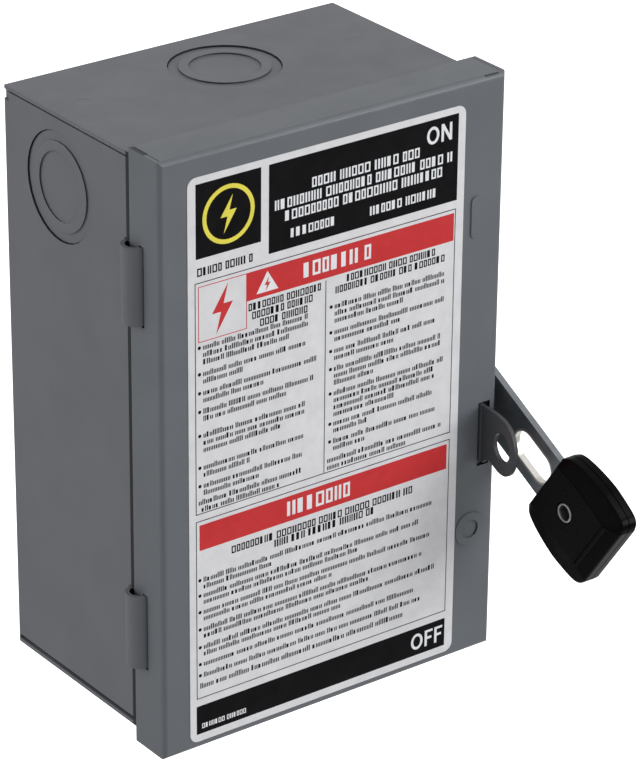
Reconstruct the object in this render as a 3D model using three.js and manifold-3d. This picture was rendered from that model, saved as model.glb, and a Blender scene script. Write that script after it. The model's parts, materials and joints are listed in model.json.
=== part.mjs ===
// Enclosed safety switch: a wall-mounted steel box with a side-operated two-pole fusible knife switch.
// Units are millimetres. +X is the handle side, +Y the wall, +Z up. The origin is the centre of the
// back face of the box.
import * as THREE from 'three';
import { ConvexGeometry } from 'three/addons/geometries/ConvexGeometry.js';
import { mergeVertices } from 'three/addons/utils/BufferGeometryUtils.js';
import Module from 'manifold-3d';

const wasm = await Module();
wasm.setup();

// ---------------------------------------------------------------- driving dimensions
const GAP = 0.3;
const RUNNING = 0.15;
const BODY = { halfWidth: 61.4, halfHeight: 95.4, depth: 80.9, sheet: 1.3, bend: 1.6, leftDepth: 67.25 };
const DOOR = {
  left: -61.4, right: 66.0, bottom: -100.5, top: 96.9, front: -83.0, rear: -67.4, sheet: 1.2, bend: 2.0,
};
const HINGE = {
  x: -60.8, y: -69.35, inner: 3.1, outer: 4.4, from: 82, to: 300,
  hooks: [{ low: 42.8, high: 67.6 }, { low: -72.0, high: -47.2 }],
  slotRear: -72.1, slotFront: -74.5, slotMargin: 0.5, reliefWidth: 0.5, reliefDepth: 2.6,
};
const KNOCKOUT = {
  outer: 17.45, middle: 14.3, inner: 11.1, step: 0.55, slit: 0.15,
  topX: 1.5, topY: -26.7, sideY: -30.6, sideZ: 72.1,
};
const TAB = { root: -81.4, lean: 8.0, holeAt: 14.5, holeZ: -22.8, holeRadius: 4.8 };
const TAB_SLOT = { left: 58.6, right: 63.2, low: -34.5, high: -12.4 };
const PIVOT = { y: -44.3, z: 0 };
const OFF_ANGLE = 27.65;
const ARM = { inner: 68.8, thickness: 2.3, halfWidth: 9.5, end: 95.0, slotNear: 56.0, slotFar: 65.0 };
const ARM_SLOT_RADIUS = 5.0;
const GRIP = {
  face: 4.35, edge: 3.2, skew: 0.12, rivetAt: 83.0, rivetBore: 2.5, rivetHead: 3.3, headSeat: 0.7,
  halfWidths: [
    [70.3, 13.4], [72, 15.7], [75, 17.1], [80, 18.3], [85, 19.0], [89, 19.2], [93, 18.9], [97, 18.4],
    [99.8, 17.7], [101.7, 16.1], [102.5, 13.8],
  ],
  faceHalfWidths: [[71.2, 10.7], [77, 11.5], [84, 11.9], [90, 11.7], [97.4, 11.2]],
};
const SHAFT_RADIUS = 4.0;
const POLES = [34, 6];
const BASE = { left: -16, right: 52, bottom: -91, top: 66, back: -1.6, front: -12 };
const BLADE = { thickness: 1.6, hub: 10, reach: 26, halfWidth: 4.5 };
const ROTOR = { radius: 5, left: -15, right: 52 };
const FUSE = { y: -22, z: -52, length: 50.8, capRadius: 7.15, capLength: 12.7, tubeRadius: 6.5 };
const CLIP = { inner: 7.45, outer: 8.4, height: 10 };
const STRIP = { back: -12.3, front: -13.5, halfWidth: 5 };
const LUG = { front: -26, halfWidth: 6, wireY: -19.6, wireRadius: 3.5, height: 13 };
const NEUTRAL = { x: -37, low: -62, high: 30, halfWidth: 4.5, back: -10.3, front: -20.5, screws: 5 };

// ---------------------------------------------------------------- colours
const finish = (color, roughness, metalness) => ({ color, roughness, metalness });
const PAINT = finish(0x696b70, 0.5, 0.3);
const DOOR_PAINT = finish(0x70757a, 0.5, 0.3);
const ZINC = finish(0xa9acae, 0.35, 0.9);
const DARK_STEEL = finish(0x4a5055, 0.45, 0.8);
const COPPER = finish(0xb87a4b, 0.35, 0.95);
const TINNED = finish(0xb9b7b0, 0.35, 0.9);
const BRASS = finish(0xb79a55, 0.35, 0.9);
const ALUMINIUM = finish(0xb4b6b8, 0.4, 0.9);
const BLACK_PLASTIC = finish(0x131316, 0.35, 0.0);
const PHENOLIC = finish(0x2b2623, 0.6, 0.0);
const FIBRE = finish(0x8f5a36, 0.75, 0.0);
const LABEL = finish(0xe2e3e6, 0.5, 0.0);

// Half the number of flats round a large circle, and round a small one.
const ROUND = 16;
const SMALL_ROUND = 8;

// ---------------------------------------------------------------- solids
const AXES = {
  x: new THREE.Matrix4().makeBasis(
    new THREE.Vector3(0, 1, 0), new THREE.Vector3(0, 0, 1), new THREE.Vector3(1, 0, 0)),
  y: new THREE.Matrix4().makeBasis(
    new THREE.Vector3(0, 0, 1), new THREE.Vector3(1, 0, 0), new THREE.Vector3(0, 1, 0)),
  z: new THREE.Matrix4(),
};

function solid(geometry) {
  const bare = geometry.clone();
  bare.deleteAttribute('normal');
  bare.deleteAttribute('uv');
  const merged = mergeVertices(bare, 1e-4);
  const mesh = new wasm.Mesh({
    numProp: 3,
    vertProperties: new Float32Array(merged.attributes.position.array),
    triVerts: new Uint32Array(merged.index.array),
  });
  return new wasm.Manifold(mesh);
}

function geometryOf(manifold) {
  const mesh = manifold.getMesh();
  const geometry = new THREE.BufferGeometry();
  geometry.setAttribute('position', new THREE.BufferAttribute(mesh.vertProperties, 3));
  geometry.setIndex(new THREE.BufferAttribute(mesh.triVerts, 1));
  return geometry;
}

// A shape's own axes are (Y, Z) when it is swept along x, (Z, X) along y and (X, Y) along z.
function sweep(shape, axis, from, to, segments = 8) {
  const geometry = new THREE.ExtrudeGeometry(shape, {
    depth: to - from, bevelEnabled: false, curveSegments: segments, steps: 1,
  });
  geometry.translate(0, 0, from);
  geometry.applyMatrix4(AXES[axis]);
  return solid(geometry);
}

function outline(points) {
  return new THREE.Shape(points.map(([a, b]) => new THREE.Vector2(a, b)));
}

function circle(a, b, radius) {
  return new THREE.Shape().absarc(a, b, radius, 0, 2 * Math.PI, false);
}

function disc(axis, a, b, radius, from, to, segments = SMALL_ROUND) {
  return sweep(circle(a, b, radius), axis, from, to, segments);
}

function box(x0, x1, y0, y1, z0, z1) {
  const geometry = new THREE.BoxGeometry(x1 - x0, y1 - y0, z1 - z0);
  geometry.translate((x0 + x1) / 2, (y0 + y1) / 2, (z0 + z1) / 2);
  return solid(geometry);
}

function roundedRect(a0, a1, b0, b1, radius) {
  const shape = new THREE.Shape();
  shape.absarc(a1 - radius, b0 + radius, radius, -Math.PI / 2, 0, false);
  shape.absarc(a1 - radius, b1 - radius, radius, 0, Math.PI / 2, false);
  shape.absarc(a0 + radius, b1 - radius, radius, Math.PI / 2, Math.PI, false);
  shape.absarc(a0 + radius, b0 + radius, radius, Math.PI, 1.5 * Math.PI, false);
  shape.closePath();
  return shape;
}

function stadium(a0, a1, b, radius) {
  const shape = new THREE.Shape();
  shape.absarc(a1, b, radius, -Math.PI / 2, Math.PI / 2, false);
  shape.absarc(a0, b, radius, Math.PI / 2, 1.5 * Math.PI, false);
  shape.closePath();
  return shape;
}

function ringSector(a, b, inner, outer, from, to) {
  const shape = new THREE.Shape();
  shape.absarc(a, b, outer, THREE.MathUtils.degToRad(from), THREE.MathUtils.degToRad(to), false);
  shape.absarc(a, b, inner, THREE.MathUtils.degToRad(to), THREE.MathUtils.degToRad(from), true);
  shape.closePath();
  return shape;
}

const union = (...solids) => solids.reduce((whole, piece) => whole.add(piece));
const cut = (whole, ...tools) => tools.reduce((rest, tool) => rest.subtract(tool), whole);

const assembly = new THREE.Group();
const handleFrame = new THREE.Group();
handleFrame.position.set(0, PIVOT.y, PIVOT.z);
handleFrame.rotation.x = THREE.MathUtils.degToRad(OFF_ANGLE);
assembly.add(handleFrame);

function place(name, manifold, look, parent = assembly) {
  const mesh = new THREE.Mesh(geometryOf(manifold), new THREE.MeshStandardMaterial(look));
  mesh.name = name;
  parent.add(mesh);
}

// ---------------------------------------------------------------- folded sheet
// A pan is a block with its edges rounded along two directions, less the same block inset by the sheet.
function foldedBlock(x0, x1, y0, y1, z0, z1, radius) {
  const across = sweep(roundedRect(x0, x1, y0, y1, radius), 'z', z0, z1, 6);
  const upright = sweep(roundedRect(y0, y1, z0, z1, radius), 'x', x0, x1, 6);
  return across.intersect(upright);
}

function knockoutHoles() {
  const radius = KNOCKOUT.outer + KNOCKOUT.slit;
  const through = BODY.sheet + 1;
  const { topX, topY, sideY, sideZ } = KNOCKOUT;
  const { halfWidth, halfHeight } = BODY;
  return [
    disc('z', topX, topY, radius, halfHeight - through, halfHeight + 1, ROUND),
    disc('z', topX, topY, radius, -halfHeight - 1, -halfHeight + through, ROUND),
    disc('x', sideY, sideZ, radius, -halfWidth - 1, -halfWidth + through, ROUND),
    disc('x', sideY, sideZ, radius, halfWidth - through, halfWidth + 1, ROUND),
  ];
}

function mountingHoles() {
  const slotRadius = 2.4;
  const slots = [-50, 56].map((x) => sweep(stadium(-87.5, -84.5, x, slotRadius), 'y', -3, 1, 8));
  const keyhole = [sweep(stadium(78, 86, 0, slotRadius), 'y', -3, 1, 8), disc('y', 78, 0, 4.6, -3, 1)];
  return [...slots, ...keyhole];
}

function hingeHooks() {
  const hook = ringSector(HINGE.x, HINGE.y, HINGE.inner, HINGE.outer, HINGE.from, HINGE.to);
  return HINGE.hooks.map(({ low, high }) => sweep(hook, 'z', low, high, 10));
}

function hookReliefs() {
  const { reliefWidth: width, reliefDepth: depth } = HINGE;
  const edge = -BODY.leftDepth;
  const { halfWidth } = BODY;
  return HINGE.hooks.flatMap(({ low, high }) => [
    box(-halfWidth - 1, -halfWidth + 2, edge - 1, edge + depth, high, high + width),
    box(-halfWidth - 1, -halfWidth + 2, edge - 1, edge + depth, low - width, low),
  ]);
}

// The padlock tab leans towards the hinge side, so that the door's slot clears it as the door swings.
function padlockTab() {
  const shape = new THREE.Shape();
  shape.moveTo(3, -33);
  shape.lineTo(-1.2, -33);
  shape.lineTo(-1.2, -13.4);
  shape.lineTo(2, -13.4);
  shape.quadraticCurveTo(9, -12.6, 14, -13.1);
  shape.bezierCurveTo(18.6, -13.7, 21.4, -16.4, 22.2, -20.7);
  shape.bezierCurveTo(22.7, -25.4, 21.0, -30.4, 16.8, -31.8);
  shape.bezierCurveTo(13.6, -32.7, 10.4, -31.5, 8.3, -30.7);
  shape.bezierCurveTo(6.2, -30.1, 4.6, -31.3, 3, -33);
  const plate = sweep(shape, 'x', 0, BODY.sheet, 8);
  const hole = disc('x', TAB.holeAt, TAB.holeZ, TAB.holeRadius, -1, BODY.sheet + 1);
  return plate.subtract(hole)
    .rotate([0, 0, 180 - TAB.lean])
    .translate([BODY.halfWidth, TAB.root, 0]);
}

function enclosureBody() {
  const { halfWidth: w, halfHeight: h, depth, sheet, bend, leftDepth } = BODY;
  const beyond = 20;
  const shell = cut(
    foldedBlock(-w, w, -depth - beyond, 0, -h, h, bend),
    foldedBlock(-w + sheet, w - sheet, -depth - 2 * beyond, -sheet, -h + sheet, h - sheet, bend - sheet),
    box(-w - 1, w + 1, -depth - 3 * beyond, -depth, -h - 1, h + 1),
  );
  const topSeam = 0.5;
  const bottomSeam = 1.5;
  const notch = 3.4;
  const seams = [-w, w].flatMap((x) => [
    box(x - sheet, x + sheet, -depth - 1, -bend, h - sheet - topSeam, h - sheet),
    box(x - sheet, x + sheet, -depth - 1, -bend, -h + sheet, -h + sheet + bottomSeam),
    box(x - sheet, x + sheet, -notch, 1, h - sheet - notch, h - sheet),
  ]);
  const leftClearance = box(-w - 1, -w + 3, -depth - 1, -leftDepth, -h - 1, h + 1);
  const bushingHole = disc('x', PIVOT.y, PIVOT.z, 7, w - 3, w + 1);
  const open = cut(shell, ...seams, leftClearance, bushingHole, ...knockoutHoles(), ...mountingHoles());
  const joined = union(cut(open, ...hookReliefs()), ...hingeHooks());
  return union(joined, padlockTab(), box(w - sheet, w, TAB.root - 0.4, -depth + 0.5, -33, -13.4));
}

function doorPanel() {
  const { left, right, bottom, top, front, rear, sheet, bend } = DOOR;
  const beyond = 20;
  const pan = cut(
    foldedBlock(left, right, front, rear + beyond, bottom, top, bend),
    foldedBlock(left + sheet, right - sheet, front + sheet, rear + 2 * beyond,
      bottom + sheet, top - sheet, bend - sheet),
    box(left - 1, right + 1, rear, rear + 3 * beyond, bottom - 1, top + 1),
  );
  const cornerSlit = [[top - sheet, top + 1], [bottom - 1, bottom + sheet]].flatMap(([low, high]) => [
    box(left + sheet, left + sheet + GAP, front + bend, rear + 1, low, high),
    box(right - sheet - GAP, right - sheet, front + bend, rear + 1, low, high),
  ]);
  const hingeSlots = HINGE.hooks.map(({ low, high }) => box(
    left - 1, left + sheet + 1, HINGE.slotFront, HINGE.slotRear,
    low - HINGE.slotMargin, high + HINGE.slotMargin));
  const tabSlot = box(TAB_SLOT.left, TAB_SLOT.right, front - 1, front + sheet + 1,
    TAB_SLOT.low, TAB_SLOT.high);
  const raised = 0.5;
  const rib = sweep(stadium(46.7, 57.0, 55.1, 1.75), 'y', front - raised, front + 0.2, 8);
  const boss = disc('y', -55.8, 56.2, 5.7, front - raised, front + 0.2, 20);
  const dimple = disc('y', -55.8, 56.2, 3.2, front - 1, front + 0.1);
  return cut(union(cut(pan, ...cornerSlit, ...hingeSlots, tabSlot), rib, boss), dimple);
}

// A slug half sheared into steps: its outer ring and its core are pushed in, its middle ring is not.
function knockoutSlug(axis, a, b, face, inward) {
  const { outer, middle, inner, step } = KNOCKOUT;
  const level = (radius, near, far) => disc(axis, a, b, radius,
    Math.min(face + inward * near, face + inward * far),
    Math.max(face + inward * near, face + inward * far), ROUND);
  const pushedIn = level(outer, step, BODY.sheet + step);
  const unmoved = level(middle, 0, BODY.sheet);
  const behind = cut(level(middle, BODY.sheet, BODY.sheet + 1), level(inner, 0, BODY.sheet + 2));
  return cut(union(pushedIn, unmoved), level(inner, -1, step), behind);
}

place('enclosure_body', enclosureBody(), PAINT);
place('door_panel', doorPanel(), DOOR_PAINT);
place('door_label', sweep(roundedRect(-97.7, 89.87, -51.93, 50.25, 3), 'y',
  DOOR.front - 0.35, DOOR.front - 0.05, 6), LABEL);

const { topX, topY, sideY, sideZ } = KNOCKOUT;
place('knockout_top', knockoutSlug('z', topX, topY, BODY.halfHeight, -1), PAINT);
place('knockout_bottom', knockoutSlug('z', topX, topY, -BODY.halfHeight, 1), PAINT);
place('knockout_left', knockoutSlug('x', sideY, sideZ, -BODY.halfWidth, 1), PAINT);
place('knockout_right', knockoutSlug('x', sideY, sideZ, BODY.halfWidth, -1), PAINT);

// ---------------------------------------------------------------- handle, in its own turned frame
// The arm runs along the frame's -Y from the pivot at the frame's origin.
function handleArm() {
  const { inner, thickness, halfWidth, end, slotNear, slotFar } = ARM;
  const shape = new THREE.Shape();
  shape.absarc(0, 0, halfWidth, -Math.PI / 2, Math.PI / 2, false);
  shape.lineTo(-end, halfWidth);
  shape.lineTo(-end, -halfWidth);
  shape.closePath();
  const plate = sweep(shape, 'x', inner, inner + thickness, 14);
  const slot = sweep(stadium(-slotFar, -slotNear, 0, ARM_SLOT_RADIUS), 'x', inner - 1, inner + 5, 12);
  const shaftHole = disc('x', 0, 0, SHAFT_RADIUS + GAP, inner - 1, inner + 5);
  const rivetHole = disc('x', -GRIP.rivetAt, 0, GRIP.rivetBore, inner - 1, inner + 5);
  return cut(plate, slot, shaftHole, rivetHole);
}

// One half of the grip is the hull of three outlines: at the seam, at the rim of its side, and on its face.
function gripHalf(side) {
  const { face, edge, skew, halfWidths, faceHalfWidths, rivetAt, rivetBore, rivetHead, headSeat } = GRIP;
  const middle = ARM.inner + ARM.thickness / 2;
  const ring = (x, widths) => widths.flatMap(([along, across]) => [-across, across].map(
    (w) => new THREE.Vector3(x, -(along + skew * w), w)));
  const hull = solid(new ConvexGeometry([
    ...ring(middle + side * GAP / 2, halfWidths),
    ...ring(middle + side * edge, halfWidths),
    ...ring(middle + side * face, faceHalfWidths),
  ]));
  const pocket = box(ARM.inner - GAP, ARM.inner + ARM.thickness + GAP,
    -ARM.end - 1, -ARM.slotFar, -ARM.halfWidth - GAP, ARM.halfWidth + GAP);
  const bore = disc('x', -rivetAt, 0, rivetBore, middle - 2 * face, middle + 2 * face);
  const seatFloor = middle + side * (face - headSeat);
  const seat = disc('x', -rivetAt, 0, rivetHead + GAP,
    Math.min(seatFloor, seatFloor + 2 * side), Math.max(seatFloor, seatFloor + 2 * side));
  return cut(hull, pocket, bore, seat);
}

// A tubular rivet, open from end to end, with a rolled rim on each side of the grip.
function gripRivet() {
  const { face, rivetAt, rivetBore, rivetHead, headSeat } = GRIP;
  const middle = ARM.inner + ARM.thickness / 2;
  const reach = face + 0.25;
  const rim = middle + face - headSeat + GAP / 2;
  const otherRim = middle - face + headSeat - GAP / 2;
  return cut(
    union(
      disc('x', -rivetAt, 0, rivetBore - GAP, middle - reach, middle + reach),
      disc('x', -rivetAt, 0, rivetHead, rim, middle + reach),
      disc('x', -rivetAt, 0, rivetHead, middle - reach, otherRim),
    ),
    disc('x', -rivetAt, 0, rivetBore - 1, middle - reach - 1, middle + reach + 1),
  );
}

const armOuter = ARM.inner + ARM.thickness;
const shaftInner = ROTOR.right - 10;
const screwBoreDepth = 9;

function driveShaft() {
  return cut(
    disc('x', 0, 0, SHAFT_RADIUS, shaftInner + GAP, armOuter),
    disc('x', 0, 0, 2, armOuter - screwBoreDepth, armOuter + 1),
    disc('x', 0, 0, 6, 56.2, 57.4).subtract(disc('x', 0, 0, 3.4, 56, 58)),
  );
}

function handleScrew() {
  const headFrom = armOuter + GAP;
  const head = disc('x', 0, 0, 6.5, headFrom, headFrom + 2.6);
  const shank = disc('x', 0, 0, 1.7, armOuter - screwBoreDepth + 1, headFrom + 0.1);
  const slot = box(headFrom + 1.4, headFrom + 4, -8, 8, -0.7, 0.7);
  return cut(union(head, shank), slot);
}

function retainingRing() {
  return sweep(ringSector(0, 0, 3.7, 6.4, 35, 325), 'x', 56.45, 57.15, 9);
}

function rotorBar() {
  const bar = disc('x', 0, 0, ROTOR.radius, ROTOR.left, ROTOR.right);
  const collars = [[12, 28], [40, ROTOR.right]].map(([from, to]) => disc('x', 0, 0, 7, from, to));
  const bore = disc('x', 0, 0, SHAFT_RADIUS + 0.2, shaftInner, ROTOR.right + 1);
  return cut(union(bar, ...collars), bore);
}

function blade(x) {
  const { thickness, hub, reach, halfWidth } = BLADE;
  const from = x - thickness / 2;
  const to = x + thickness / 2;
  const tongue = sweep(roundedRect(-halfWidth, halfWidth, 0, reach, 2), 'x', from, to, 5);
  const root = disc('x', 0, 0, hub, from, to);
  const bore = disc('x', 0, 0, ROTOR.radius + GAP, from - 1, to + 1);
  return cut(union(tongue, root), bore);
}

place('handle_arm', handleArm(), DARK_STEEL, handleFrame);
place('handle_grip_left', gripHalf(-1), BLACK_PLASTIC, handleFrame);
place('handle_grip_right', gripHalf(1), BLACK_PLASTIC, handleFrame);
place('grip_rivet', gripRivet(), DARK_STEEL, handleFrame);
place('handle_spacer', cut(
  disc('x', 0, 0, 8, 64.8, ARM.inner - GAP),
  disc('x', 0, 0, SHAFT_RADIUS + GAP, 64, ARM.inner + 1)), ZINC, handleFrame);
place('drive_shaft', driveShaft(), ZINC, handleFrame);
place('handle_screw', handleScrew(), ZINC, handleFrame);
place('retaining_ring', retainingRing(), DARK_STEEL, handleFrame);
place('rotor_bar', rotorBar(), PHENOLIC, handleFrame);
POLES.forEach((x, index) => place(`blade_${index + 1}`, blade(x), COPPER, handleFrame));

// ---------------------------------------------------------------- shaft support in the right wall
function bushing() {
  const flange = disc('x', PIVOT.y, PIVOT.z, 9.5, 58.0, 59.8);
  const sleeve = disc('x', PIVOT.y, PIVOT.z, 6.7, 58.0, 64.5);
  return cut(union(flange, sleeve), disc('x', PIVOT.y, PIVOT.z, SHAFT_RADIUS + RUNNING, 57, 66));
}

function bushingNut() {
  const across = 10.4;
  const corners = [0, 1, 2, 3, 4, 5].map((index) => {
    const angle = (index * Math.PI) / 3;
    return [PIVOT.y + across * Math.cos(angle), PIVOT.z + across * Math.sin(angle)];
  });
  const hexagon = sweep(outline(corners), 'x', 61.7, 64.3);
  return hexagon.subtract(disc('x', PIVOT.y, PIVOT.z, 7, 61, 65));
}

place('shaft_bushing', bushing(), BRASS);
place('bushing_nut', bushingNut(), ZINC);

// ---------------------------------------------------------------- switch base and its metalwork
const SCREW_SITES = [[-9, 58], [46, -4.5], [-9, -84]];

function switchBase() {
  const { left, right, bottom, top, back, front } = BASE;
  const plate = box(left, right, front, back, bottom, top);
  const barrierX = (POLES[0] + POLES[1]) / 2;
  const upper = box(barrierX - 1, barrierX + 1, -44, front + 0.1, 14, top);
  const lower = box(barrierX - 1, barrierX + 1, -34, front + 0.1, bottom, -14);
  const lowBarrier = box(barrierX - 1, barrierX + 1, -30, front + 0.1, -15, 15);
  const ledge = box(left, right, -17, front + 0.1, top - 3, top);
  const screwHoles = SCREW_SITES.flatMap(([x, z]) => [
    disc('y', z, x, 2.4, front - 1, back + 1),
    disc('y', z, x, 4.4, front - 1, front + 4),
  ]);
  return cut(union(plate, upper, lower, lowBarrier, ledge), ...screwHoles);
}

// A slotted screw whose head faces the door.
function slottedScrew(x, z, seat, headRadius, shankRadius, shankLength) {
  const headDepth = 2.2;
  const head = disc('y', z, x, headRadius, seat - headDepth, seat);
  const shank = disc('y', z, x, shankRadius, seat - 0.1, seat + shankLength);
  const slot = box(x - headRadius - 1, x + headRadius + 1, seat - 3, seat - 1.1, z - 0.5, z + 0.5);
  return cut(union(head, shank), slot);
}

place('switch_base', switchBase(), PHENOLIC);
SCREW_SITES.forEach(([x, z], index) => place(
  `base_screw_${index + 1}`, slottedScrew(x, z, BASE.front + 3.7, 3.9, 2.0, 6.2), ZINC));

function lug(x, low) {
  const high = low + LUG.height;
  const middle = (low + high) / 2;
  const block = box(x - LUG.halfWidth, x + LUG.halfWidth, LUG.front, STRIP.back, low, high);
  const wire = disc('z', x, LUG.wireY, LUG.wireRadius, low - 1, high + 1);
  const screwHole = disc('y', middle, x, 2.5, LUG.front - 1, LUG.wireY);
  return cut(block, wire, screwHole);
}

function strip(x, low, high) {
  return box(x - STRIP.halfWidth, x + STRIP.halfWidth, STRIP.front, STRIP.back, low, high);
}

// Two spring leaves that stand either side of a blade.
function leaves(x, low, high, front) {
  const near = BLADE.thickness / 2 + GAP;
  const thickness = 1.1;
  return [-near - thickness, near].map((offset) => sweep(
    roundedRect(front, STRIP.back, low, high, 1.1), 'x', x + offset, x + offset + thickness, 4));
}

function fuseClip(x, middle) {
  const low = middle - CLIP.height / 2;
  const high = middle + CLIP.height / 2;
  const ring = sweep(ringSector(x, FUSE.y, CLIP.inner, CLIP.outer, -42, 222), 'z', low, high, 9);
  const foot = box(x - 3, x + 3, FUSE.y + CLIP.inner + 0.2, STRIP.front + 0.1, low, high);
  return union(ring, foot);
}

const capMiddle = FUSE.length / 2 - FUSE.capLength / 2;
const lineLugLow = 46;
const loadLugLow = -90.5;

POLES.forEach((x, index) => {
  const pole = index + 1;
  const line = union(strip(x, 12, lineLugLow + LUG.height), lug(x, lineLugLow), ...leaves(x, 15, 27, -35.4));
  place(`line_terminal_${pole}`, line, TINNED);
  place(`line_wire_screw_${pole}`,
    slottedScrew(x, lineLugLow + LUG.height / 2, LUG.front - GAP, 3.8, 2.1, 2.2), ZINC);
  const upper = union(strip(x, -40, 9), fuseClip(x, FUSE.z + capMiddle), ...leaves(x, -8, 8, -38.6));
  place(`hinge_jaw_and_clip_${pole}`, upper, COPPER);
  const lower = union(strip(x, loadLugLow, -62), fuseClip(x, FUSE.z - capMiddle), lug(x, loadLugLow));
  place(`load_terminal_${pole}`, lower, TINNED);
  place(`load_wire_screw_${pole}`,
    slottedScrew(x, loadLugLow + LUG.height / 2, LUG.front - GAP, 3.8, 2.1, 2.2), ZINC);
});

// ---------------------------------------------------------------- cartridge fuses
function fuseCap(x, end, inward) {
  const { y, capRadius, capLength, tubeRadius } = FUSE;
  const other = end + inward * capLength;
  const low = Math.min(end, other);
  const high = Math.max(end, other);
  const hollowLow = inward > 0 ? low + 0.8 : low - 1;
  const hollowHigh = inward > 0 ? high + 1 : high - 0.8;
  return cut(disc('z', x, y, capRadius, low, high),
    disc('z', x, y, tubeRadius + 0.1, hollowLow, hollowHigh));
}

POLES.forEach((x, index) => {
  const half = FUSE.length / 2;
  const inset = 1.1;
  place(`fuse_tube_${index + 1}`, disc('z', x, FUSE.y, FUSE.tubeRadius,
    FUSE.z - half + inset, FUSE.z + half - inset), FIBRE);
  place(`fuse_cap_top_${index + 1}`, fuseCap(x, FUSE.z + half, -1), BRASS);
  place(`fuse_cap_bottom_${index + 1}`, fuseCap(x, FUSE.z - half, 1), BRASS);
});

// ---------------------------------------------------------------- rotor bearing and return spring
function rotorBracket() {
  const plate = sweep(roundedRect(-51.9, STRIP.back, -9, 9, 3), 'x', -13.5, -12, 6);
  const foot = box(-13.5, -2.5, -13.9, STRIP.back, -9, 9);
  const bore = disc('x', PIVOT.y, PIVOT.z, ROTOR.radius + RUNNING, -15, -11);
  const screwHole = disc('y', 0, -6.5, 2.3, -15, -11);
  return cut(union(plate, foot), bore, screwHole);
}

class Coil extends THREE.Curve {
  constructor({ x, radius, pitch, turns }) {
    super();
    Object.assign(this, { x, radius, pitch, turns });
  }

  getPoint(t, target = new THREE.Vector3()) {
    const angle = t * this.turns * 2 * Math.PI;
    return target.set(
      this.x + this.pitch * this.turns * t,
      PIVOT.y + this.radius * Math.cos(angle),
      PIVOT.z + this.radius * Math.sin(angle),
    );
  }
}

function returnSpring() {
  const turns = 5;
  const stepsPerTurn = 12;
  const path = new Coil({ x: -10.6, radius: 6.3, pitch: 1.5, turns });
  const wire = new THREE.Shape().absarc(0, 0, 0.55, 0, 2 * Math.PI, false);
  const geometry = new THREE.ExtrudeGeometry(wire, {
    steps: turns * stepsPerTurn, extrudePath: path, curveSegments: 3, bevelEnabled: false,
  });
  return solid(geometry);
}

place('rotor_bracket', rotorBracket(), ZINC);
place('bracket_screw', slottedScrew(-6.5, 0, -14.2, 3.6, 1.9, 1.6), ZINC);
place('return_spring', returnSpring(), DARK_STEEL);

// ---------------------------------------------------------------- neutral bar and ground lug
function neutralSites() {
  const pitch = (NEUTRAL.high - NEUTRAL.low) / NEUTRAL.screws;
  return Array.from({ length: NEUTRAL.screws }, (_, index) => NEUTRAL.low + (index + 0.5) * pitch);
}

function neutralBar() {
  const { x, low, high, halfWidth, back, front } = NEUTRAL;
  const bar = box(x - halfWidth, x + halfWidth, front, back, low, high);
  const holes = neutralSites().flatMap((z) => [
    disc('x', front + 5.6, z, 2.6, x - 6, x + 6),
    disc('y', z, x, 2.0, front - 1, front + 5.6),
  ]);
  return cut(bar, ...holes);
}

function neutralFoot(low, high) {
  const { x, back } = NEUTRAL;
  return union(
    box(x - 7, x + 7, -5, -1.6, low, high),
    box(x - 4, x + 4, back + GAP, -4.9, low, high),
  );
}

function groundLug() {
  const tongue = box(-54, -44, -3.4, -1.6, -78, -56);
  const block = box(-54, -44, -13, -3.3, -68, -56);
  const wire = disc('z', -49, -8, 2.7, -69, -55);
  const screwHole = disc('y', -62, -49, 2.2, -14, -8);
  return cut(union(tongue, block), wire, screwHole, disc('y', -73, -49, 2.2, -5, 0));
}

place('neutral_bar', neutralBar(), ALUMINIUM);
place('neutral_foot_upper', neutralFoot(NEUTRAL.high - 16, NEUTRAL.high), PHENOLIC);
place('neutral_foot_lower', neutralFoot(NEUTRAL.low, NEUTRAL.low + 16), PHENOLIC);
neutralSites().forEach((z, index) => place(
  `neutral_screw_${index + 1}`, slottedScrew(NEUTRAL.x, z, NEUTRAL.front - GAP, 3.2, 1.7, 2.2), ZINC));
place('ground_lug', groundLug(), ALUMINIUM);
place('ground_wire_screw', slottedScrew(-49, -62, -13.3, 3.4, 1.9, 1.6), ZINC);
place('ground_fixing_screw', slottedScrew(-49, -73, -3.7, 3.8, 1.9, 1.9), ZINC);

export default assembly;
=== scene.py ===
import json
import math
import random

import bmesh
import bpy
from mathutils import Matrix, Vector


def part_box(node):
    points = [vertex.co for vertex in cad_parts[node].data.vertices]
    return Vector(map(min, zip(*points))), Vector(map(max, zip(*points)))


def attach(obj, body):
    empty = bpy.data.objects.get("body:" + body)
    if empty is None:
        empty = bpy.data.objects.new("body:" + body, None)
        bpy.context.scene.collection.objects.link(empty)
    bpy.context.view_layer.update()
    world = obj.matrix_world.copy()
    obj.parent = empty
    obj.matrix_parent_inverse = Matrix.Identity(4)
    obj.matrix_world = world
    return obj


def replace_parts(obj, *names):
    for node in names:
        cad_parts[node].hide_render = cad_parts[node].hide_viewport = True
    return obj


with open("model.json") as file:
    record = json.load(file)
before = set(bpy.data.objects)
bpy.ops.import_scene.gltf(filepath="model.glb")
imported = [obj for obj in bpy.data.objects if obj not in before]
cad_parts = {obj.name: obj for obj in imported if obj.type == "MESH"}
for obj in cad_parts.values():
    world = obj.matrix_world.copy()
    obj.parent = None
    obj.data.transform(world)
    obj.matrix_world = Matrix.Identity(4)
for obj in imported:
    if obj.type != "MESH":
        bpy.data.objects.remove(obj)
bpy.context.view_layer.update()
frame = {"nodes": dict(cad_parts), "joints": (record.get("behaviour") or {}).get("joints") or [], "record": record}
NODES = frame["nodes"]
MM = 0.001

scene = bpy.context.scene
scene.view_settings.view_transform = "Standard"


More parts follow.
